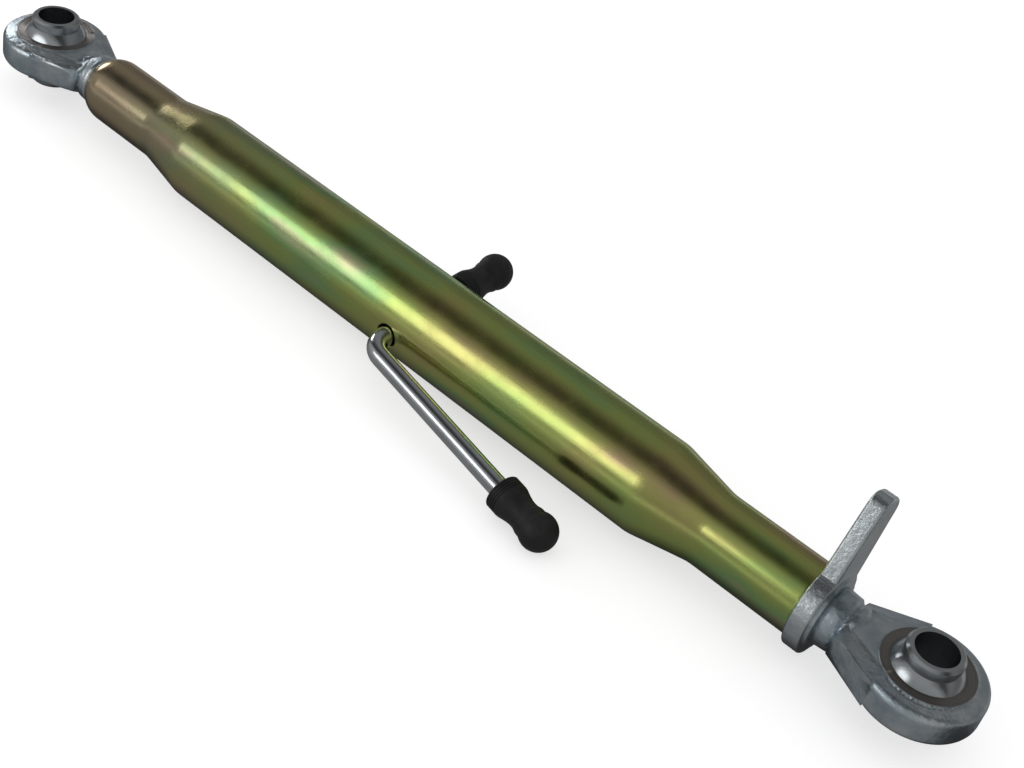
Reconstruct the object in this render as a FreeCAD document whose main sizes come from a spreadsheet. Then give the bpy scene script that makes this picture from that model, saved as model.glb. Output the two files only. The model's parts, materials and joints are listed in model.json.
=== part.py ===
import FreeCAD, Part
import math
import os
import re
import Sketcher
from FreeCAD import Placement, Rotation, Vector

# Category 2 top link: a swaged turnbuckle barrel with a left-hand and a right-hand rod end, each holding a
# spherical ball, a lock nut with a lever, and a loose turning bar with two rubber grips.
# Frame: origin at the left ball centre, +X along the link to the right ball, +Z along the ball bores.

doc = FreeCAD.newDocument("top_link")
sheet = doc.addObject("Spreadsheet::Sheet", "Sizes")

# every length in mm, every angle in degrees
sizes = {
    # balls and eyes
    "pin_bore": 25.7, "ball_width": 51, "ball_diameter": 50, "ball_collar": 33.8, "ball_edge": 1.5,
    "socket_clearance": 0.05,
    "eye_diameter": 74, "eye_thickness": 25, "seat_diameter": 55, "seat_step": 0.6,
    "eye_side": 18.6, "eye_edge": 5,
    # forged web between the eye and the neck
    "web_end": 48, "web_width": 38.6, "web_flat": 18, "web_top": 23, "web_side": 15,
    # neck, collar and threaded shank
    "neck_start": 31, "neck_root": 9, "neck_ramp": 37.5, "neck_low": 10.5, "neck_ramp_round": 9,
    "neck_full": 43, "neck_diameter": 32.4, "neck_end": 45.6, "collar_groove": 47.6, "groove_diameter": 30.8,
    "collar_start": 50, "collar_diameter": 36, "collar_end": 59.8, "collar_end_diameter": 37.6,
    "thread_diameter": 36, "thread_clearance": 0.05, "shank_length": 190, "shank_chamfer": 2.5,
    # barrel
    "eye_to_mouth": 60, "barrel_length": 632, "barrel_diameter": 63.5, "swaged_diameter": 47.8,
    "swaged_length": 71, "swage_length": 40, "swage_round": 32, "wall": 8, "thread_depth": 76,
    "mouth_diameter": 38, "mouth_length": 7, "mouth_round": 21, "nut_end_round": 1.5,
    # cross hole for the turning bar, measured from the middle of the barrel
    "hole_offset": 7.6, "hole_diameter": 15.5, "hole_tilt": 6, "hole_edge": 0.8,
    # lock nut
    "nut_gap": 0.1, "nut_thickness": 13, "nut_diameter": 56, "nut_edge": 1.6, "nut_boss": 46, "nut_boss_step": 1.5,
    "lever_thickness": 11, "lever_angle": 22, "lever_foot": 21, "lever_length": 77, "lever_root": 34,
    "lever_tip": 22, "lever_tip_round": 9.5, "lever_edge": 2,
    # turning bar and grips
    "bar_diameter": 13, "bar_corner": 45.5, "bar_bend": 14, "bar_splay": 8.2, "bar_droop": 4.6,
    "long_arm": 181, "short_end": 82.5,
    "grip_length": 47, "grip_wall": 4, "grip_collar": 24, "grip_collar_length": 9,
    "grip_waist": 19.4, "grip_waist_start": 20, "grip_bulb": 24.6, "grip_round": 8, "grip_mouth": 1.2,
}
for row, (name, value) in enumerate(sizes.items(), start=1):
    sheet.set(f"A{row}", name)
    sheet.set(f"B{row}", str(value))
    sheet.setAlias(f"B{row}", name)
doc.recompute()


def bind(text):
    """Turn the names of sizes inside an expression into references to the sheet."""
    return re.sub(r"[a-z_]+", lambda word: f"Sizes.{word[0]}" if word[0] in sizes else word[0], text)


def value(text):
    """The number that an expression of sizes gives."""
    return float(sheet.evalExpression(text))


def new_body(name):
    body = doc.addObject("PartDesign::Body", name)
    body.Label = name
    return body


def origin_part(body, role):
    return next(item for item in body.Origin.OriginFeatures if item.Role == role)


def new_sketch(body, name, role, offset=None):
    sketch = body.newObject("Sketcher::SketchObject", name)
    sketch.AttachmentSupport = (origin_part(body, role), [""])
    sketch.MapMode = "FlatFace"
    if offset:
        sketch.setExpression("AttachmentOffset.Base.z", bind(offset))
    return sketch


def hold(sketch, name, constraint, text):
    """Add a named constraint whose value is read from the sheet."""
    held = sketch.addConstraint(constraint)
    sketch.renameConstraint(held, name)
    sketch.setExpression(f"Constraints.{name}", bind(text))


def pin_point(sketch, name, geometry, point, across, up):
    """Hold one point of the sketch at two distances from its origin."""
    hold(sketch, name + "_across", Sketcher.Constraint("DistanceX", -1, 1, geometry, point, value(across)), across)
    hold(sketch, name + "_up", Sketcher.Constraint("DistanceY", -1, 1, geometry, point, value(up)), up)


def draw_outline(sketch, corners, rounds=None):
    """Draw a closed outline through the corners, then round the corners that have a radius."""
    count = len(corners)
    spots = [Vector(value(across), value(up), 0) for across, up in corners]
    for i in range(count):
        sketch.addGeometry(Part.LineSegment(spots[i], spots[(i + 1) % count]), False)
    for i in range(count):
        sketch.addConstraint(Sketcher.Constraint("Coincident", i, 2, (i + 1) % count, 1))
        pin_point(sketch, f"corner_{i}", i, 1, *corners[i])
    for i, radius in (rounds or {}).items():
        sketch.fillet(i, 1, value(radius), True, True)
        arc = max(g for g, item in enumerate(sketch.Geometry) if isinstance(item, Part.ArcOfCircle))
        hold(sketch, f"round_{i}", Sketcher.Constraint("Radius", arc, value(radius)), radius)


def turn(body, name, sketch, role, cut=False):
    """Revolve a sketch, or cut its revolution away, about one of the body's own axes."""
    feature = body.newObject("PartDesign::Groove" if cut else "PartDesign::Revolution", name)
    feature.Profile = sketch
    feature.ReferenceAxis = (origin_part(body, role), [""])
    feature.Angle = 360
    return feature


def round_edges(body, name, base, radius, wanted, kind="Fillet"):
    """Round or chamfer the edges of a feature that the test picks out."""
    doc.recompute()
    picked = [f"Edge{i}" for i, edge in enumerate(base.Shape.Edges, start=1) if wanted(edge)]
    feature = body.newObject(f"PartDesign::{kind}", name)
    feature.Base = (base, picked)
    feature.setExpression("Radius" if kind == "Fillet" else "Size", bind(radius))
    return feature


def is_circle_at(edge, axis, along, radius):
    """Whether an edge is a circle of this radius, this far along one axis."""
    if edge.Degenerated or not isinstance(edge.Curve, Part.Circle):
        return False
    curve = edge.Curve
    return abs(getattr(curve.Center, axis) - along) < 0.05 and abs(curve.Radius - radius) < 0.05


def is_hole_rim(edge, along, width, outside):
    """Whether an edge is the rim of a cross hole of this width on a tube's outside, this far along X."""
    if edge.Degenerated or edge.BoundBox.XLength > width + 0.1 or abs(edge.BoundBox.Center.x - along) > width / 2:
        return False
    spots = edge.discretize(5)
    return all(abs(math.hypot(spot.y, spot.z) - outside / 2) < 0.05 for spot in spots)


def make_barrel():
    body = new_body("barrel")
    left, right = "-barrel_length / 2", "barrel_length / 2"
    sketch = new_sketch(body, "barrel_profile", "XZ_Plane")
    corners = [
        (left, "thread_diameter / 2 + thread_clearance"),
        (left, "mouth_diameter / 2"),
        (f"{left} + mouth_length", "swaged_diameter / 2"),
        (f"{left} + swaged_length", "swaged_diameter / 2"),
        (f"{left} + swaged_length + swage_length", "barrel_diameter / 2"),
        (f"{right} - swaged_length - swage_length", "barrel_diameter / 2"),
        (f"{right} - swaged_length", "swaged_diameter / 2"),
        (right, "swaged_diameter / 2"),
        (right, "thread_diameter / 2 + thread_clearance"),
        (f"{right} - thread_depth", "thread_diameter / 2 + thread_clearance"),
        (f"{right} - swaged_length - swage_length", "barrel_diameter / 2 - wall"),
        (f"{left} + swaged_length + swage_length", "barrel_diameter / 2 - wall"),
        (f"{left} + thread_depth", "thread_diameter / 2 + thread_clearance"),
    ]
    rounds = {2: "mouth_round", 3: "swage_round", 4: "swage_round", 5: "swage_round", 6: "swage_round",
              7: "nut_end_round"}
    draw_outline(sketch, corners, rounds)
    turn(body, "barrel_turned", sketch, "X_Axis")

    hole = new_sketch(body, "cross_hole_circle", "XZ_Plane")
    hole.AttachmentOffset = Placement(Vector(0, 0, 0), Rotation(Vector(1, 0, 0), sizes["hole_tilt"]))
    hole.setExpression("AttachmentOffset.Rotation.Angle", bind("hole_tilt") + " * 1deg")
    hole.addGeometry(Part.Circle(Vector(sizes["hole_offset"], 0, 0), Vector(0, 0, 1), 5), False)
    pin_point(hole, "centre", 0, 3, "hole_offset", "0")
    hold(hole, "width", Sketcher.Constraint("Diameter", 0, sizes["hole_diameter"]), "hole_diameter")
    pocket = body.newObject("PartDesign::Pocket", "cross_hole")
    pocket.Profile = hole
    pocket.SideType = "Symmetric"
    pocket.Type = "ThroughAll"
    round_edges(body, "cross_hole_edges", pocket, "hole_edge",
                lambda edge: is_hole_rim(edge, value("hole_offset"), value("hole_diameter"), value("barrel_diameter")))
    body.Placement = Placement(Vector(value("eye_to_mouth + barrel_length / 2"), 0, 0), Rotation())
    return body


def make_ball(name, place):
    body = new_body(name)
    sketch = new_sketch(body, name + "_profile", "XZ_Plane")
    collar, end, radius = value("ball_collar / 2"), value("ball_width / 2"), value("ball_diameter / 2")
    meet = math.sqrt(radius**2 - collar**2)
    bore = value("pin_bore / 2")
    spots = [(collar, meet), (collar, end), (bore, end), (bore, -end), (collar, -end), (collar, -meet)]
    for start, stop in zip(spots, spots[1:]):
        sketch.addGeometry(Part.LineSegment(Vector(*start, 0), Vector(*stop, 0)), False)
    swing = math.atan2(meet, collar)
    circle = Part.Circle(Vector(), Vector(0, 0, 1), radius)
    sketch.addGeometry(Part.ArcOfCircle(circle, -swing, swing), False)
    for line in range(4):
        sketch.addConstraint(Sketcher.Constraint("Coincident", line, 2, line + 1, 1))
    sketch.addConstraint(Sketcher.Constraint("Coincident", 4, 2, 5, 1))
    sketch.addConstraint(Sketcher.Constraint("Coincident", 5, 2, 0, 1))
    sketch.addConstraint(Sketcher.Constraint("Coincident", 5, 3, -1, 1))
    sketch.addConstraint(Sketcher.Constraint("Vertical", 0))
    sketch.addConstraint(Sketcher.Constraint("Vertical", 4))
    hold(sketch, "sphere", Sketcher.Constraint("Radius", 5, radius), "ball_diameter / 2")
    pin_point(sketch, "top", 1, 1, "ball_collar / 2", "ball_width / 2")
    pin_point(sketch, "bore_top", 2, 1, "pin_bore / 2", "ball_width / 2")
    pin_point(sketch, "bore_foot", 3, 1, "pin_bore / 2", "-ball_width / 2")
    pin_point(sketch, "foot", 4, 1, "ball_collar / 2", "-ball_width / 2")
    turned = turn(body, name + "_turned", sketch, "Z_Axis")
    round_edges(body, name + "_edges", turned, "ball_edge",
                lambda edge: is_circle_at(edge, "z", end, collar) or is_circle_at(edge, "z", -end, collar), "Chamfer")
    body.Placement = place
    return body


def make_rod_end(name, place):
    """A forged eye with a captive ball seat, a web, a collar and the threaded shank, drawn as plain bar."""
    body = new_body(name)
    eye = new_sketch(body, name + "_eye", "XZ_Plane")
    seat, half, step = "seat_diameter / 2", "eye_thickness / 2", "eye_thickness / 2 - seat_step"
    draw_outline(eye, [
        ("0", f"-({half})"), (seat, f"-({half})"), (seat, f"-({step})"),
        ("eye_diameter / 2", "-eye_side / 2"), ("eye_diameter / 2", "eye_side / 2"),
        (seat, step), (seat, half), ("0", half),
    ], {3: "eye_edge", 4: "eye_edge"})
    turn(body, name + "_eye_forged", eye, "Z_Axis")

    # the web's sides are tangent to the eye, so it starts where those tangents touch
    radius, end, width = value("eye_diameter / 2"), value("web_end"), value("web_width / 2")
    angle = math.atan2(width, end) + math.acos(radius / math.hypot(end, width))
    start, spread = radius * math.cos(angle), radius * math.sin(angle)
    flat = math.sqrt(value("seat_diameter / 2") ** 2 - start**2)
    sections = []
    for label, where, wide, side, top, level in (
        ("root", start, spread, "eye_side / 2", str(flat), step),
        ("end", end, width, "web_side / 2", "web_flat / 2", "web_top / 2"),
    ):
        section = new_sketch(body, f"{name}_web_{label}", "YZ_Plane", str(where))
        wide = str(wide)
        draw_outline(section, [
            (wide, f"-({side})"), (wide, side), (top, level), (f"-({top})", level),
            (f"-{wide}", side), (f"-{wide}", f"-({side})"), (f"-({top})", f"-({level})"), (top, f"-({level})"),
        ])
        sections.append(section)
    web = body.newObject("PartDesign::AdditiveLoft", name + "_web")
    web.Profile = sections[0]
    web.Sections = sections[1:]
    web.Ruled = True

    neck = new_sketch(body, name + "_neck", "XZ_Plane")
    shank = "thread_diameter / 2"
    tip = "collar_end + shank_length"
    draw_outline(neck, [
        ("neck_start", "0"), ("neck_start", "neck_root"), ("neck_ramp", "neck_low"),
        ("neck_full", "neck_diameter / 2"), ("neck_end", "neck_diameter / 2"),
        ("collar_groove", "groove_diameter / 2"), ("collar_start", "collar_diameter / 2"),
        ("collar_end", "collar_end_diameter / 2"), ("collar_end", shank),
        (f"{tip} - shank_chamfer", shank), (tip, f"{shank} - shank_chamfer"), (tip, "0"),
    ], {2: "neck_ramp_round"})
    turn(body, name + "_neck_turned", neck, "X_Axis")

    socket = new_sketch(body, name + "_socket", "XZ_Plane")
    reach = value("ball_diameter / 2 + socket_clearance")
    circle = Part.Circle(Vector(), Vector(0, 0, 1), reach)
    socket.addGeometry(Part.ArcOfCircle(circle, -math.pi / 2, math.pi / 2), False)
    socket.addGeometry(Part.LineSegment(Vector(0, reach, 0), Vector(0, -reach, 0)), False)
    socket.addConstraint(Sketcher.Constraint("Coincident", 0, 2, 1, 1))
    socket.addConstraint(Sketcher.Constraint("Coincident", 1, 2, 0, 1))
    socket.addConstraint(Sketcher.Constraint("Coincident", 0, 3, -1, 1))
    socket.addConstraint(Sketcher.Constraint("PointOnObject", 1, 1, -2))
    socket.addConstraint(Sketcher.Constraint("PointOnObject", 1, 2, -2))
    hold(socket, "seat", Sketcher.Constraint("Radius", 0, reach), "ball_diameter / 2 + socket_clearance")
    turn(body, name + "_ball_seat", socket, "Z_Axis", cut=True)
    body.Placement = place
    return body


def make_lock_nut():
    """A round lock nut with its lever, forged in one."""
    body = new_body("lock_nut")
    lever = new_sketch(body, "lever_outline", "YZ_Plane")
    lever.AttachmentOffset = Placement(Vector(), Rotation(Vector(0, 0, 1), -sizes["lever_angle"]))
    lever.setExpression("AttachmentOffset.Rotation.Angle", bind("-lever_angle") + " * 1deg")
    draw_outline(lever, [
        ("lever_root / 2", "lever_foot"), ("lever_tip / 2", "lever_length"),
        ("-lever_tip / 2", "lever_length"), ("-lever_root / 2", "lever_foot"),
    ], {1: "lever_tip_round", 2: "lever_tip_round"})
    arm = body.newObject("PartDesign::Pad", "lever")
    arm.Profile = lever
    arm.setExpression("Length", bind("lever_thickness"))
    round_edges(body, "lever_edges", arm, "lever_edge", lambda edge: edge.BoundBox.XLength < 0.01)

    disc = new_sketch(body, "nut_profile", "XZ_Plane")
    bore, rim, boss = "thread_diameter / 2 + thread_clearance", "nut_diameter / 2", "nut_boss / 2"
    draw_outline(disc, [
        ("0", bore), ("0", rim), ("nut_thickness - nut_boss_step", rim),
        ("nut_thickness - nut_boss_step", boss), ("nut_thickness", boss), ("nut_thickness", bore),
    ], {1: "nut_edge", 2: "nut_edge"})
    turn(body, "nut_turned", disc, "X_Axis")
    body.Placement = Placement(Vector(value("eye_to_mouth + barrel_length + nut_gap"), 0, 0), Rotation())
    return body


# the turning bar lies in a plane tilted with its cross hole; +Y runs along the hole, away from the long arm
hole_centre = Vector(value("eye_to_mouth + barrel_length / 2 + hole_offset"), 0, 0)
hole_turn = Rotation(Vector(1, 0, 0), sizes["hole_tilt"]) * Rotation(Vector(0, 1, 0), sizes["bar_droop"])
handle_place = Placement(hole_centre, hole_turn)
splay = math.radians(sizes["bar_splay"])
arm_way = Vector(math.cos(splay), -math.sin(splay), 0)
bar_corner = Vector(0, -sizes["bar_corner"], 0)


def make_bar():
    body = new_body("turning_bar")
    path = new_sketch(body, "bar_path", "XY_Plane")
    far_end = sizes["short_end"] - sizes["grip_wall"]
    long_end = bar_corner + arm_way * (sizes["long_arm"] - sizes["grip_wall"])
    path.addGeometry(Part.LineSegment(Vector(0, far_end, 0), bar_corner), False)
    path.addGeometry(Part.LineSegment(bar_corner, long_end), False)
    path.addConstraint(Sketcher.Constraint("Coincident", 0, 2, 1, 1))
    pin_point(path, "short_tip", 0, 1, "0", "short_end - grip_wall")
    pin_point(path, "corner", 0, 2, "0", "-bar_corner")
    pin_point(path, "long_tip", 1, 2, "(long_arm - grip_wall) * cos(bar_splay * 1deg)",
              "-bar_corner - (long_arm - grip_wall) * sin(bar_splay * 1deg)")
    path.fillet(1, 1, value("bar_bend"), True, True)
    hold(path, "bend", Sketcher.Constraint("Radius", 2, value("bar_bend")), "bar_bend")
    section = new_sketch(body, "bar_section", "XZ_Plane", "-(short_end - grip_wall)")
    section.addGeometry(Part.Circle(Vector(), Vector(0, 0, 1), value("bar_diameter / 2")), False)
    section.addConstraint(Sketcher.Constraint("Coincident", 0, 3, -1, 1))
    hold(section, "width", Sketcher.Constraint("Diameter", 0, value("bar_diameter")), "bar_diameter")
    doc.recompute()
    bar = body.newObject("PartDesign::AdditivePipe", "bar_swept")
    bar.Profile = section
    bar.Spine = path
    body.Placement = handle_place
    return body


def make_grip(name, tip, way):
    """A moulded grip, blind at its tip, whose open end slips over the bar."""
    body = new_body(name)
    sketch = new_sketch(body, name + "_profile", "XZ_Plane")
    bar, collar, waist = "bar_diameter / 2", "grip_collar / 2", "grip_waist / 2"
    bulb = value("grip_bulb / 2")
    middle = value("grip_length") - bulb
    join = middle - math.sqrt(bulb**2 - value(waist) ** 2)
    seat = "grip_length - grip_wall"
    corners = [("0", collar), ("0", bar), (seat, bar), (seat, "0"), ("grip_length", "0")]
    shoulder = [("grip_collar_length", collar), ("grip_waist_start", waist)]
    spots = [(value(x), value(y)) for x, y in corners]
    back = [(join, value(waist))] + [(value(x), value(y)) for x, y in reversed(shoulder)] + [spots[0]]
    for start, stop in list(zip(spots, spots[1:])) + list(zip(back, back[1:])):
        sketch.addGeometry(Part.LineSegment(Vector(*start, 0), Vector(*stop, 0)), False)
    circle = Part.Circle(Vector(middle, 0, 0), Vector(0, 0, 1), bulb)
    sketch.addGeometry(Part.ArcOfCircle(circle, 0, math.pi - math.asin(value(waist) / bulb)), False)
    arc = 7
    for line in (0, 1, 2, 4, 5):
        sketch.addConstraint(Sketcher.Constraint("Coincident", line, 2, line + 1, 1))
    sketch.addConstraint(Sketcher.Constraint("Coincident", 6, 2, 0, 1))
    sketch.addConstraint(Sketcher.Constraint("Coincident", 3, 2, arc, 1))
    sketch.addConstraint(Sketcher.Constraint("Coincident", arc, 2, 4, 1))
    sketch.addConstraint(Sketcher.Constraint("Horizontal", 4))
    hold(sketch, "bulb", Sketcher.Constraint("Radius", arc, bulb), "grip_bulb / 2")
    pin_point(sketch, "bulb_centre", arc, 3, "grip_length - grip_bulb / 2", "0")
    for i, corner in enumerate(corners[:4]):
        pin_point(sketch, f"bore_{i}", i, 1, *corner)
    pin_point(sketch, "shoulder", 6, 1, *shoulder[0])
    pin_point(sketch, "waist", 5, 1, *shoulder[1])
    turned = turn(body, name + "_turned", sketch, "X_Axis")
    edges = [(join, value(waist)), (value(shoulder[1][0]), value(waist)), (value(shoulder[0][0]), value(collar))]
    rounded = round_edges(body, name + "_waist", turned, "grip_round",
                          lambda edge: any(is_circle_at(edge, "x", *spot) for spot in edges))
    round_edges(body, name + "_mouth", rounded, "grip_mouth",
                lambda edge: is_circle_at(edge, "x", 0, value(collar)))
    start = tip - way * sizes["grip_length"]
    local = Placement(start, Rotation(Vector(1, 0, 0), way))
    body.Placement = handle_place.multiply(local)
    return body


left_place = Placement(Vector(), Rotation())
right_x = value("2 * eye_to_mouth + barrel_length + nut_thickness")
right_place = Placement(Vector(right_x, 0, 0), Rotation(Vector(0, 0, 1), 180))
long_tip = bar_corner + arm_way * sizes["long_arm"]
short_tip = Vector(0, sizes["short_end"], 0)

pieces = [
    make_barrel(),
    make_rod_end("left_rod_end", left_place),
    make_rod_end("right_rod_end", right_place),
    make_ball("left_ball", left_place),
    make_ball("right_ball", right_place),
    make_lock_nut(),
    make_bar(),
    make_grip("long_arm_grip", long_tip, arm_way),
    make_grip("short_end_grip", short_tip, Vector(0, 1, 0)),
]
doc.recompute()

failed = [item.Name for item in doc.Objects if {"Invalid", "Error"} & set(item.State)]
if failed:
    raise RuntimeError("features that did not build: " + ", ".join(failed))
for piece in pieces:
    if piece.Shape.isNull() or not piece.Shape.isValid() or len(piece.Shape.Solids) != 1:
        raise RuntimeError(f"{piece.Label} is not one valid solid")

os.makedirs("parts", exist_ok=True)
for piece in pieces:
    piece.Shape.exportStep(f"parts/{piece.Label}.step")
    print(piece.Label, round(piece.Shape.Volume), [round(v, 2) for v in (
        piece.Shape.BoundBox.XMin, piece.Shape.BoundBox.XMax, piece.Shape.BoundBox.YMin,
        piece.Shape.BoundBox.YMax, piece.Shape.BoundBox.ZMin, piece.Shape.BoundBox.ZMax)])
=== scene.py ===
import bpy
import json
import math
from mathutils import Matrix, Vector


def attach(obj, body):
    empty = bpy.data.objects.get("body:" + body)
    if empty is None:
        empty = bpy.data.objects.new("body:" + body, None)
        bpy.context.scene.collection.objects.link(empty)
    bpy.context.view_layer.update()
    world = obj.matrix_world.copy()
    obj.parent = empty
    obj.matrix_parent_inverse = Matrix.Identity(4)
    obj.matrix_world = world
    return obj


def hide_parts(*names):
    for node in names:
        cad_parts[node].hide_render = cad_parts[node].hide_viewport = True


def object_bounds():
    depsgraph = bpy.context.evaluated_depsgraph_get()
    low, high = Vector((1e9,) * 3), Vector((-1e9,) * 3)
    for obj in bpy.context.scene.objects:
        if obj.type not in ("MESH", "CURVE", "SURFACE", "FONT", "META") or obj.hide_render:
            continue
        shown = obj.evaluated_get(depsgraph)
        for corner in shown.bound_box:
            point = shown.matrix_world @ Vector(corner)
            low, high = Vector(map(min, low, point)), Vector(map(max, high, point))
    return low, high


# Tractor top link: yellow zinc barrel, forged rod ends with captive balls, lock nut and a loose turning bar.
# The origin is the left ball centre, +X runs along the link to the right ball, +Z along the ball bores.
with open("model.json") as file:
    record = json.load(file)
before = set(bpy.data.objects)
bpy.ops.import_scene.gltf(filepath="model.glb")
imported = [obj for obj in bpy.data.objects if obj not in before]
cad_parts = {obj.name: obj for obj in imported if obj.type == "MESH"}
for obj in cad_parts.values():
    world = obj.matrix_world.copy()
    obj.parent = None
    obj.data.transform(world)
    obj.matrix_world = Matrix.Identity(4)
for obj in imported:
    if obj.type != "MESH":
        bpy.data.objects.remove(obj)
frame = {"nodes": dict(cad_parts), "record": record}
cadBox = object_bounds()
nodes = frame["nodes"]
mm = 0.001
print("frame loaded")


def deselectAll():
    if bpy.context.object and bpy.context.object.mode != "OBJECT":
        bpy.ops.object.mode_set(mode="OBJECT")
    bpy.ops.object.select_all(action="DESELECT")


def makeActive(piece):
    deselectAll()
    piece.select_set(True)
    bpy.context.view_layer.objects.active = piece


def applyModifiers(piece):
    makeActive(piece)
    for name in [modifier.name for modifier in piece.modifiers]:
        bpy.ops.object.modifier_apply(modifier=name)


# moves a piece and leaves its object at the origin
def bakePlace(piece, place):
    makeActive(piece)
    piece.matrix_world = place
    bpy.ops.object.transform_apply(location=True, rotation=True, scale=True)


def dress(piece, body, material, standsFor=()):
    piece.data.materials.clear()
    piece.data.materials.append(material)
    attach(piece, body)
    if standsFor:
        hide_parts(*standsFor)


# a line of vertices in the XZ plane, drawn from one point by extruding it, in mm
def drawProfile(name, spots):
    deselectAll()
    bpy.ops.mesh.primitive_plane_add(size=mm, location=(0, 0, 0))
    piece = bpy.context.object
    piece.name = name
    bpy.ops.object.mode_set(mode="EDIT")
    bpy.ops.mesh.select_all(action="SELECT")
    bpy.ops.mesh.merge(type="CENTER")
    x, z = spots[0]
    bpy.ops.transform.translate(value=(x * mm, 0, z * mm))
    for nextX, nextZ in spots[1:]:
        step = ((nextX - x) * mm, 0, (nextZ - z) * mm)
        bpy.ops.mesh.extrude_region_move(TRANSFORM_OT_translate={"value": step})
        x, z = nextX, nextZ
    bpy.ops.object.mode_set(mode="OBJECT")
    return piece


# turns a profile round the X axis, with an advance in mm for each turn on a thread
def spinProfile(piece, steps, turns=1, advance=0.0):
    screw = piece.modifiers.new("spin", "SCREW")
    screw.axis = "X"
    screw.steps = screw.render_steps = steps
    screw.iterations = turns
    screw.screw_offset = advance * mm
    screw.use_merge_vertices = True
    screw.merge_threshold = 0.00001
    applyModifiers(piece)
    bpy.ops.object.mode_set(mode="EDIT")
    bpy.ops.mesh.select_all(action="SELECT")
    bpy.ops.mesh.remove_doubles(threshold=0.00001)
    bpy.ops.mesh.normals_make_consistent(inside=False)
    bpy.ops.object.mode_set(mode="OBJECT")


# camera: looks down along the link from beyond its near end; turn in degrees, lens in mm
camera = {"at": (0.8817, -0.6671, 0.6024), "turn": (51.4875, -12.1722, 41.5940), "lens": 56.25}
bpy.ops.object.camera_add(location=camera["at"], rotation=[math.radians(angle) for angle in camera["turn"]])
viewCamera = bpy.context.object
viewCamera.name = "viewCamera"
viewCamera.data.lens = camera["lens"]
viewCamera.data.sensor_width = 36
viewCamera.data.clip_start = 0.01
bpy.context.scene.camera = viewCamera
bpy.context.scene.view_settings.view_transform = "Standard"
print("camera placed")


# a shader node; its inputs are values or other nodes' outputs
def addNode(tree, kind, inputs=None, **settings):
    made = tree.nodes.new("ShaderNode" + kind)
    for name, setting in settings.items():
        setattr(made, name, setting)
    for key, entry in (inputs or {}).items():
        if isinstance(entry, bpy.types.NodeSocket):
            tree.links.new(entry, made.inputs[key])
        else:
            made.inputs[key].default_value = entry
    return made


def addRamp(tree, factor, stops):
    ramp = addNode(tree, "ValToRGB", {"Fac": factor})
    while len(ramp.color_ramp.elements) < len(stops):
        ramp.color_ramp.elements.new(0.5)
    for element, (place, color) in zip(ramp.color_ramp.elements, stops):
        element.position = place
        element.color = (*color, 1) if isinstance(color, tuple) else (color, color, color, 1)
    return ramp.outputs["Color"]


# studio: walls are (angle round the link in degrees, brightness), with 0 overhead, 90 in front and -90 behind;
# the table ramp is (distance from the link in m, brightness), a painted table reflection whose painted shadow is
# darkest round the link; only reflections in the pieces show these two
studio = {
    "level": 0.74, "floorSize": 3.2, "floorPaper": 0.55, "floorGlow": 0.62,
    "walls": [(-180, 0.20), (-98, 0.16), (-84, 0.13), (-70, 0.12), (-50, 0.17), (-24, 0.19), (-10, 0.10), (2, 0.03),
              (18, 0.03), (30, 0.22), (40, 0.34), (72, 0.26), (84, 0.20), (89, 0.50), (95, 0.45), (99, 0.20),
              (180, 0.20)],
    # painted table reflection, with painted shadow darkest round the link
    "paintedTableShade": [(0, 0.03), (0.02, 0.04), (0.03, 0.10), (0.045, 0.18), (0.09, 0.20), (0.15, 0.20), (0.4, 0.28),
              (1.5, 0.95)],
    "softboxes": [
        {"name": "longSoftbox", "at": (-0.33, -1.16, 0.60), "aim": (-0.33, 0, 0), "size": (1.35, 0.62), "watts": 2.9},
        {"name": "endSoftbox", "at": (-1.25, 0.28, 0.46), "aim": (0, 0, 0), "size": (0.55, 0.40), "watts": 2.4},
    ],
}


def buildWorld():
    world = bpy.data.worlds.new("studioWorld")
    bpy.context.scene.world = world
    world.use_nodes = True
    tree = world.node_tree
    tree.nodes.clear()
    way = addNode(tree, "TexCoord").outputs["Generated"]
    split = addNode(tree, "SeparateXYZ", {0: way})
    front = addNode(tree, "Math", {0: split.outputs["Y"], 1: -1.0}, operation="MULTIPLY")
    angle = addNode(tree, "Math", {0: front.outputs[0], 1: split.outputs["Z"]}, operation="ARCTAN2")
    part = addNode(tree, "MapRange", {"Value": angle.outputs[0], "From Min": -math.pi, "From Max": math.pi})
    walls = addRamp(tree, part.outputs[0], [((turn + 180) / 360, bright) for turn, bright in studio["walls"]])
    path = addNode(tree, "LightPath")
    plain = addNode(tree, "Background", {"Color": (1, 1, 1, 1), "Strength": studio["level"]})
    room = addNode(tree, "Background", {"Color": walls, "Strength": 1.0})
    white = addNode(tree, "Background", {"Color": (1, 1, 1, 1), "Strength": 1.0})
    lit = addNode(tree, "MixShader", {0: path.outputs["Is Glossy Ray"], 1: plain.outputs[0], 2: room.outputs[0]})
    seen = addNode(tree, "Math", {0: path.outputs["Is Camera Ray"], 1: path.outputs["Is Transmission Ray"]},
                   operation="MAXIMUM")
    both = addNode(tree, "MixShader", {0: seen.outputs[0], 1: lit.outputs[0], 2: white.outputs[0]})
    addNode(tree, "OutputWorld", {"Surface": both.outputs[0]})


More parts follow.
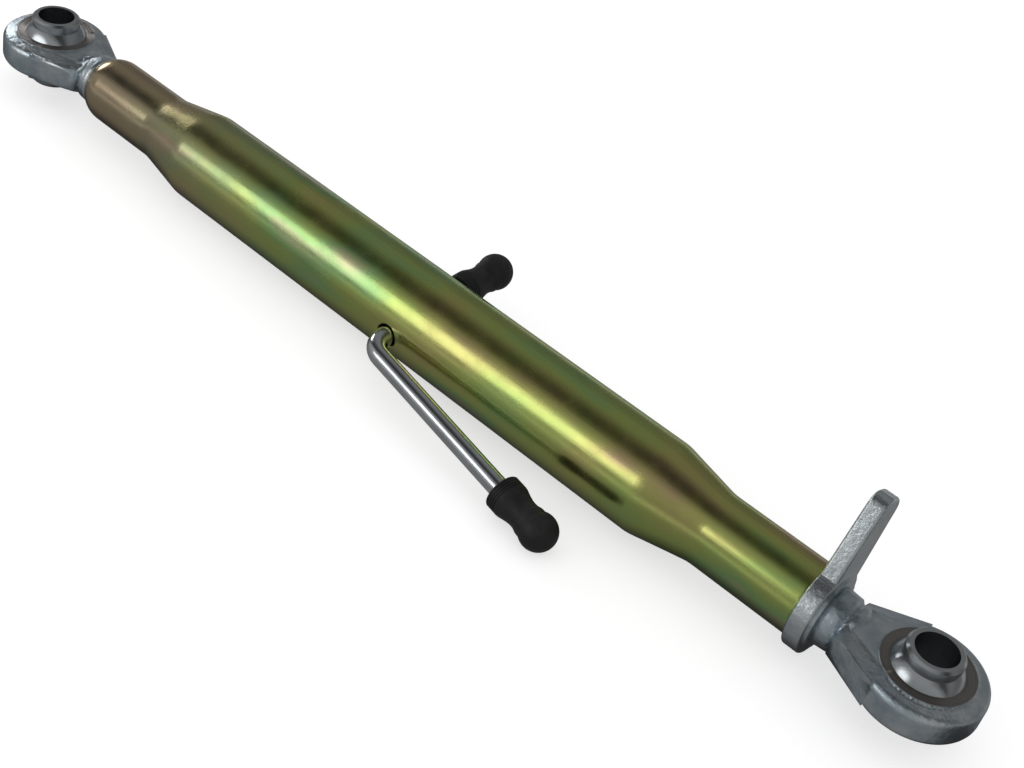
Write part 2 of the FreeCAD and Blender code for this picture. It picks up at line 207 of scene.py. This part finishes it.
def buildFloor():
    deselectAll()
    bpy.ops.mesh.primitive_plane_add(size=studio["floorSize"], location=(0.4, 0, cadBox[0][2]))
    floor = bpy.context.object
    floor.name = "floor"
    bpy.ops.object.transform_apply(location=True)
    material = bpy.data.materials.new("whiteFloor")
    material.use_nodes = True
    tree = material.node_tree
    tree.nodes.clear()
    path = addNode(tree, "LightPath")
    seen = addNode(tree, "Math", {0: path.outputs["Is Camera Ray"], 1: path.outputs["Is Transmission Ray"]},
                   operation="MAXIMUM")
    lift = addNode(tree, "Math", {0: seen.outputs[0], 1: studio["floorGlow"]}, operation="MULTIPLY")
    paper = addNode(tree, "BsdfDiffuse", {"Color": (*[studio["floorPaper"]] * 3, 1)})
    glow = addNode(tree, "Emission", {"Color": (1, 1, 1, 1), "Strength": lift.outputs[0]})
    both = addNode(tree, "AddShader", {0: paper.outputs[0], 1: glow.outputs[0]})
    # in reflections the table is a painted reflection: painted shadow, darkest round the link, and white further off
    place = addNode(tree, "TexCoord").outputs["Object"]
    across = addNode(tree, "Math", {0: addNode(tree, "SeparateXYZ", {0: place}).outputs["Y"]}, operation="ABSOLUTE")
    reach = studio["paintedTableShade"][-1][0]
    part = addNode(tree, "Math", {0: across.outputs[0], 1: 1 / reach}, operation="MULTIPLY")
    paintedTableShade = addRamp(tree, part.outputs[0], [(far / reach, bright) for far, bright in studio["paintedTableShade"]])
    # glow seen only by glossy rays: painted reflection of the table with its painted shadow
    paintedTableReflection = addNode(tree, "Emission", {"Color": paintedTableShade, "Strength": 1.0})
    whole = addNode(tree, "MixShader", {0: path.outputs["Is Glossy Ray"], 1: both.outputs[0], 2: paintedTableReflection.outputs[0]})
    addNode(tree, "OutputMaterial", {"Surface": whole.outputs[0]})
    floor.data.materials.append(material)


def buildSoftboxes():
    for box in studio["softboxes"]:
        deselectAll()
        way = Vector(box["aim"]) - Vector(box["at"])
        bpy.ops.object.light_add(type="AREA", location=box["at"], rotation=way.to_track_quat("-Z", "Y").to_euler())
        lamp = bpy.context.object
        lamp.name = box["name"]
        lamp.data.shape = "ELLIPSE"
        lamp.data.size, lamp.data.size_y = box["size"]
        lamp.data.energy = box["watts"]


buildWorld()
buildFloor()
buildSoftboxes()
print("studio lit")


def startMaterial(name, metallic, roughness):
    material = bpy.data.materials.new(name)
    material.use_nodes = True
    tree = material.node_tree
    shader = tree.nodes["Principled BSDF"]
    shader.inputs["Metallic"].default_value = metallic
    shader.inputs["Roughness"].default_value = roughness
    place = addNode(tree, "TexCoord").outputs["Object"]
    return material, tree, shader, place


def stretched(tree, place, scale, location=(0, 0, 0), turn=(0, 0, 0)):
    return addNode(tree, "Mapping", {"Vector": place, "Scale": scale, "Location": location,
                                     "Rotation": turn}).outputs[0]


def noise(tree, place, scale, detail=3.0, roughness=0.5):
    made = addNode(tree, "TexNoise", {"Vector": place, "Scale": scale, "Detail": detail, "Roughness": roughness})
    return made.outputs["Fac"]


def blendColor(tree, amount, first, second, mode="MIX"):
    mix = addNode(tree, "Mix", data_type="RGBA", blend_type=mode)
    for key, entry in (("Factor_Float", amount), ("A_Color", first), ("B_Color", second)):
        socket = next(s for s in mix.inputs if s.identifier == key)
        if isinstance(entry, bpy.types.NodeSocket):
            tree.links.new(entry, socket)
        else:
            socket.default_value = entry if isinstance(entry, float) else (*entry, 1)
    return next(s for s in mix.outputs if s.identifier == "Result_Color")


def addBump(tree, shader, height, strength, distance):
    bump = addNode(tree, "Bump", {"Height": height, "Strength": strength, "Distance": distance})
    tree.links.new(bump.outputs[0], shader.inputs["Normal"])


def yellowZinc():
    material, tree, shader, place = startMaterial("yellowZinc", 1.0, 0.24)
    patches = noise(tree, stretched(tree, place, (9, 26, 26)), 1.0, 2.5, 0.55)
    tint = addRamp(tree, patches, [
        (0.30, (0.60, 0.42, 0.26)), (0.40, (0.62, 0.59, 0.20)), (0.52, (0.52, 0.64, 0.18)),
        (0.62, (0.38, 0.62, 0.24)), (0.72, (0.62, 0.56, 0.34)),
    ])
    along = addNode(tree, "SeparateXYZ", {0: place}).outputs["X"]
    dirty = addNode(tree, "MapRange", {"Value": along, "From Min": 0.10, "From Max": 0.27,
                                       "To Min": 0.8, "To Max": 0.0}).outputs[0]
    tint = blendColor(tree, dirty, tint, (0.58, 0.40, 0.30))
    tree.links.new(tint, shader.inputs["Base Color"])
    lines = noise(tree, stretched(tree, place, (14, 900, 900)), 1.0, 4.0, 0.7)
    cloud = noise(tree, stretched(tree, place, (60, 60, 60)), 1.0, 5.0, 0.6)
    rough = addNode(tree, "MapRange", {"Value": cloud, "From Min": 0.3, "From Max": 0.7,
                                       "To Min": 0.19, "To Max": 0.30}).outputs[0]
    tree.links.new(rough, shader.inputs["Roughness"])
    addBump(tree, shader, lines, 0.10, 0.0004)
    shader.inputs["Coat Weight"].default_value = 0.25
    shader.inputs["Coat Roughness"].default_value = 0.15
    return material


def forgedZinc(name, color=(0.76, 0.82, 0.85), grain=260.0, roughness=0.22, strength=0.5):
    material, tree, shader, place = startMaterial(name, 1.0, roughness)
    cloud = noise(tree, place, 45.0, 4.0, 0.6)
    tint = addRamp(tree, cloud, [(0.3, tuple(c * 0.82 for c in color)), (0.7, color)])
    tree.links.new(tint, shader.inputs["Base Color"])
    addBump(tree, shader, noise(tree, place, grain, 5.0, 0.65), strength, 0.0012)
    return material


def rodEndZinc(name, eye):
    material, tree, shader, place = startMaterial(name, 1.0, 0.27)
    cloud = noise(tree, place, 45.0, 4.0, 0.6)
    tint = addRamp(tree, cloud, [(0.3, (0.44, 0.53, 0.60)), (0.55, (0.64, 0.72, 0.77)), (0.7, (0.82, 0.87, 0.90))])
    # the turned seat round the ball is browner and finely ringed
    fromEye = stretched(tree, place, (1, 1, 1), (-eye * mm, 0, 0))
    radius = addNode(tree, "VectorMath", {0: stretched(tree, fromEye, (1, 1, 0))}, operation="LENGTH").outputs["Value"]
    height = addNode(tree, "Math", {0: addNode(tree, "SeparateXYZ", {0: fromEye}).outputs["Z"]}, operation="ABSOLUTE")
    onTop = addNode(tree, "Math", {0: height.outputs[0], 1: rodEnd["seatLevel"] * mm}, operation="GREATER_THAN")
    inside = addNode(tree, "Math", {0: radius, 1: rodEnd["seatRadius"] * mm}, operation="LESS_THAN")
    seat = addNode(tree, "Math", {0: onTop.outputs[0], 1: inside.outputs[0]}, operation="MULTIPLY").outputs[0]
    rings = noise(tree, addNode(tree, "CombineXYZ", {0: radius}).outputs[0], 2600.0, 2.0, 0.5)
    ringTint = addRamp(tree, rings, [(0.35, (0.20, 0.19, 0.18)), (0.65, (0.46, 0.43, 0.40))])
    tree.links.new(blendColor(tree, seat, tint, ringTint), shader.inputs["Base Color"])
    forged = noise(tree, place, 260.0, 5.0, 0.65)
    grain = addNode(tree, "Mix", {0: seat, 2: forged, 3: rings}, data_type="FLOAT")
    addBump(tree, shader, grain.outputs[0], 0.5, 0.0012)
    return material


def gripRubber():
    material, tree, shader, place = startMaterial("gripRubber", 0.0, 0.5)
    cloud = noise(tree, place, 120.0, 4.0, 0.6)
    tint = addRamp(tree, cloud, [(0.3, (0.010, 0.010, 0.011)), (0.7, (0.020, 0.020, 0.021))])
    tree.links.new(tint, shader.inputs["Base Color"])
    addBump(tree, shader, noise(tree, place, 1500.0, 3.0, 0.6), 0.12, 0.0004)
    shader.inputs["Specular IOR Level"].default_value = 0.35
    return material


# rod end: thread, shank and turned seat, in mm
rodEnd = {"threadStart": 60.6, "threadTurns": 61, "crest": 17.95, "root": 16.1, "foot": 15.5, "pitch": 3,
          "flank": 1.2, "flat": 0.6, "toothWidth": 2.98, "shankFrom": 59.7, "shankRadius": 18.3, "coreShrink": 0.878,
          "seatLevel": 12.2, "seatRadius": 27.6}
eyes = {"left_rod_end": 0, "right_rod_end": 765}  # each eye's place along the link

looks = {
    "yellow_zinc": yellowZinc(),
    "forged_zinc": forgedZinc("forgedZinc"),
    "ball_steel": forgedZinc("ballSteel", (0.62, 0.66, 0.68), 500.0, 0.20, 0.08),
    "bar_zinc": forgedZinc("barZinc", (0.74, 0.78, 0.80), 700.0, 0.16, 0.05),
    "grip_rubber": gripRubber(),
}
for name, node in nodes.items():
    slotName = next(part["material_slot"] for part in frame["record"]["subparts"] if part["node"] == name)
    node.data.materials.clear()
    node.data.materials.append(looks[slotName])
print("materials made")


def makeThread(name, eye, way):
    foot, root, crest = rodEnd["foot"], rodEnd["root"], rodEnd["crest"]
    rise, fall, width = rodEnd["flank"], rodEnd["flank"] + rodEnd["flat"], rodEnd["toothWidth"]
    tooth = [(0, foot), (0, root), (rise, crest), (fall, crest), (width, root), (width, foot), (0, foot)]
    piece = drawProfile(name, [(eye + way * (rodEnd["threadStart"] + x), z) for x, z in tooth])
    spinProfile(piece, 32, rodEnd["threadTurns"], way * rodEnd["pitch"])
    bpy.ops.object.mode_set(mode="EDIT")
    bpy.ops.mesh.select_all(action="SELECT")
    bpy.ops.mesh.fill_holes(sides=0)
    bpy.ops.mesh.select_all(action="SELECT")
    bpy.ops.mesh.normals_make_consistent(inside=False)
    bpy.ops.object.mode_set(mode="OBJECT")
    bpy.ops.object.shade_smooth_by_angle(angle=math.radians(25))
    return piece


def makeRodEnd(name, node, eye, way):
    thread = makeThread(name + "Thread", eye, way)
    makeActive(nodes[node])
    bpy.ops.object.duplicate()
    piece = bpy.context.object
    piece.name = name
    bpy.ops.object.mode_set(mode="EDIT")
    bpy.ops.mesh.select_all(action="SELECT")
    bpy.ops.mesh.remove_doubles(threshold=0.000001)
    bpy.ops.mesh.select_all(action="DESELECT")
    bpy.ops.object.mode_set(mode="OBJECT")
    for vertex in piece.data.vertices:
        along = (vertex.co.x / mm - eye) * way
        radius = math.hypot(vertex.co.y, vertex.co.z) / mm
        vertex.select = along > rodEnd["shankFrom"] and radius < rodEnd["shankRadius"]
    bpy.ops.object.mode_set(mode="EDIT")
    bpy.ops.mesh.select_mode(type="VERT")
    # the shank shrinks to a core, and the thread goes over it
    bpy.ops.transform.resize(value=(1, rodEnd["coreShrink"], rodEnd["coreShrink"]), center_override=(0, 0, 0))
    bpy.ops.object.mode_set(mode="OBJECT")
    bpy.ops.object.shade_smooth_by_angle(angle=math.radians(25))
    deselectAll()
    thread.select_set(True)
    piece.select_set(True)
    bpy.context.view_layer.objects.active = piece
    bpy.ops.object.join()
    dress(piece, node, rodEndZinc(name + "Zinc", eye), [node])
    return piece


makeRodEnd("leftRodEnd", "left_rod_end", eyes["left_rod_end"], 1)
makeRodEnd("rightRodEnd", "right_rod_end", eyes["right_rod_end"], -1)
print("rod ends threaded")

# turning bar: where its cross hole is, how it leans, and how far each end reaches, in mm and degrees
turningBar = {"hole": 383.6, "tilt": 6, "droop": 4.6, "corner": 45.5, "splay": 8.2, "longArm": 181, "shortEnd": 82.5}
# grip: radii and places along it, in mm from its open mouth
grip = {"length": 47, "bore": 6.5, "wall": 4, "collar": 12, "bulb": 12.3,
        "ribs": 4, "ribStart": 1.6, "ribPitch": 1.7, "ribDepth": 0.45, "ribBottom": (0.2, 0.5), "ribWidth": 0.7,
        "neck": [(9.0, 12.0), (10.2, 11.86), (11.6, 11.5), (13.4, 10.95), (15.4, 10.42), (17.4, 10.0), (19.2, 9.76),
                 (21.0, 9.7), (22.8, 9.85), (24.4, 10.25), (26.0, 10.75)],
        "bulbStart": 10.9, "bulbSteps": 14}


def gripOutline():
    outline = [(grip["length"] - grip["wall"], 0), (grip["length"] - grip["wall"], grip["bore"]),
               (0.4, grip["bore"]), (0, grip["bore"] + 0.4), (0, grip["collar"] - 1.0), (0.35, grip["collar"] - 0.4),
               (1.0, grip["collar"])]
    for rib in range(grip["ribs"]):
        x = grip["ribStart"] + rib * grip["ribPitch"]
        deep = grip["collar"] - grip["ribDepth"]
        outline += [(x, grip["collar"]), (x + grip["ribBottom"][0], deep), (x + grip["ribBottom"][1], deep),
                    (x + grip["ribWidth"], grip["collar"])]
    outline += grip["neck"]
    middle = grip["length"] - grip["bulb"]
    start = math.pi - math.asin(grip["bulbStart"] / grip["bulb"])
    for step in range(grip["bulbSteps"] + 1):
        turn = start * (1 - step / grip["bulbSteps"])
        outline.append((middle + grip["bulb"] * math.cos(turn), grip["bulb"] * math.sin(turn)))
    outline[-1] = (grip["length"], 0)
    return outline


def makeGrip(name, tip, way, standsFor):
    piece = drawProfile(name, gripOutline())
    spinProfile(piece, 64)
    bpy.ops.object.shade_smooth_by_angle(angle=math.radians(28))
    hinge = Matrix.Translation((turningBar["hole"] * mm, 0, 0))
    lean = (Matrix.Rotation(math.radians(turningBar["tilt"]), 4, "X")
            @ Matrix.Rotation(math.radians(turningBar["droop"]), 4, "Y"))
    start = tip - way * grip["length"]
    along = Vector((1, 0, 0)).rotation_difference(way).to_matrix().to_4x4()
    bakePlace(piece, hinge @ lean @ Matrix.Translation(start * mm) @ along)
    dress(piece, "handle", looks["grip_rubber"], [standsFor])
    return piece


splay = math.radians(turningBar["splay"])
armWay = Vector((math.cos(splay), -math.sin(splay), 0))
corner = Vector((0, -turningBar["corner"], 0))
makeGrip("longArmGrip", corner + armWay * turningBar["longArm"], armWay, "long_arm_grip")
makeGrip("shortEndGrip", Vector((0, turningBar["shortEnd"], 0)), Vector((0, 1, 0)), "short_end_grip")
print("grips made")
